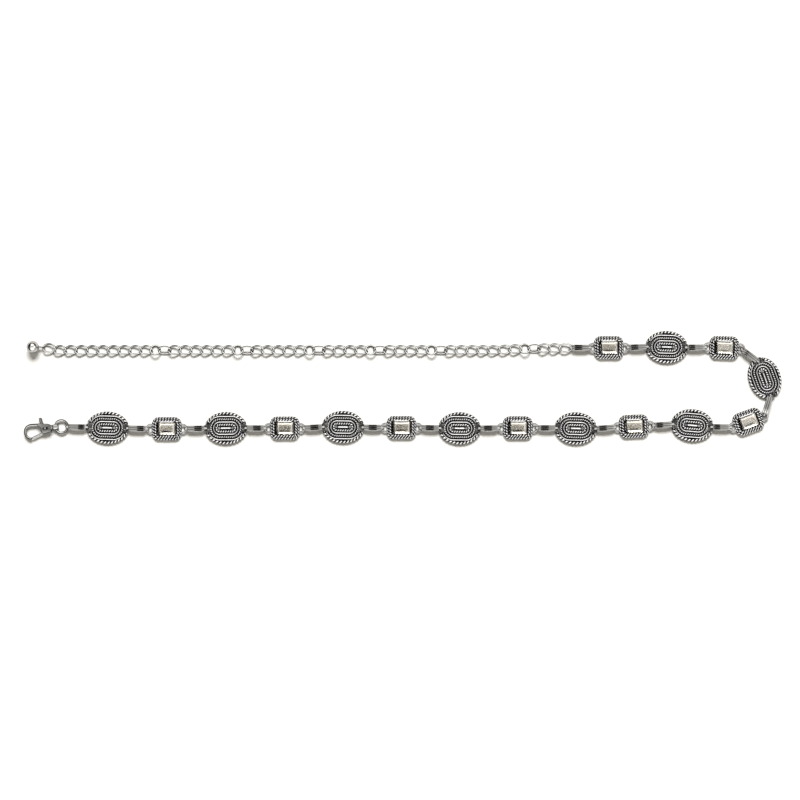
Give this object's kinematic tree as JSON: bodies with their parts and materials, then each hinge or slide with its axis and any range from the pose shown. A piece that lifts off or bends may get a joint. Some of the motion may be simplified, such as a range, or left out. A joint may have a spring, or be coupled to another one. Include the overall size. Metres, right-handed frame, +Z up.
{
  "type": "chain belt",
  "caption": "Chain belt of oval rope-edged plaques and rectangular crystal settings, with a swivel hook at one end and an adjustable curb chain with a ball at the other.",
  "frame": {"origin": "middle of the laid-out belt, on the surface it lies on", "axes": "+X along the belt from the hook and ball ends towards the bend, +Y from the row with the hook to the row with the chain, +Z up from the surface"},
  "size_m": [0.5448, 0.0818, 0.0086],
  "materials": {
    "antique_silver": "cast zinc alloy, silver plated and blackened in the recesses",
    "bright_silver": "silver-coloured plating, polished",
    "crystal": "foil-backed step-cut glass",
    "dark_steel": "plain rivet steel"
  },
  "bodies": {
    "belt": {"oval_1": "antique_silver", "oval_2": "antique_silver", "oval_3": "antique_silver", "oval_4": "antique_silver", "oval_5": "antique_silver", "oval_6": "antique_silver", "oval_7": "antique_silver", "oval_8": "antique_silver", "setting_1": "antique_silver", "setting_2": "antique_silver", "setting_3": "antique_silver", "setting_4": "antique_silver", "setting_5": "antique_silver", "setting_6": "antique_silver", "setting_7": "antique_silver", "setting_8": "antique_silver", "stone_1": "crystal", "stone_2": "crystal", "stone_3": "crystal", "stone_4": "crystal", "stone_5": "crystal", "stone_6": "crystal", "stone_7": "crystal", "stone_8": "crystal", "connector_1": "bright_silver", "connector_2": "bright_silver", "connector_3": "bright_silver", "connector_4": "bright_silver", "connector_5": "bright_silver", "connector_6": "bright_silver", "connector_7": "bright_silver", "connector_8": "bright_silver", "connector_9": "bright_silver", "connector_10": "bright_silver", "connector_11": "bright_silver", "connector_12": "bright_silver", "connector_13": "bright_silver", "connector_14": "bright_silver", "connector_15": "bright_silver", "connector_16": "bright_silver", "connector_17": "bright_silver", "chain_a": "bright_silver", "chain_b": "bright_silver", "chain_c": "bright_silver", "chain_d": "bright_silver", "chain_e": "bright_silver", "chain_f": "bright_silver", "chain_g": "bright_silver", "end_ball": "bright_silver", "jump_ring": "bright_silver", "swivel_eye": "bright_silver"},
    "hook": {"hook": "bright_silver", "rivet": "dark_steel"},
    "gate": {"gate": "bright_silver"}
  },
  "joints": [
    {"name": "hook_swivel", "type": "hinge", "parent": "belt", "child": "hook", "pos_m": [-0.25695, -0.02915, 0.002], "axis": [0.9903, 0.1392, 0], "continuous": true},
    {"name": "gate_pivot", "type": "hinge", "parent": "hook", "child": "gate", "pos_m": [-0.25695, -0.02915, 0.002], "axis": [0, 0, -1], "range_deg": [0, 32], "stiffness_Nm_per_rad": 0.01, "springref_deg": -17.19}
  ]
}
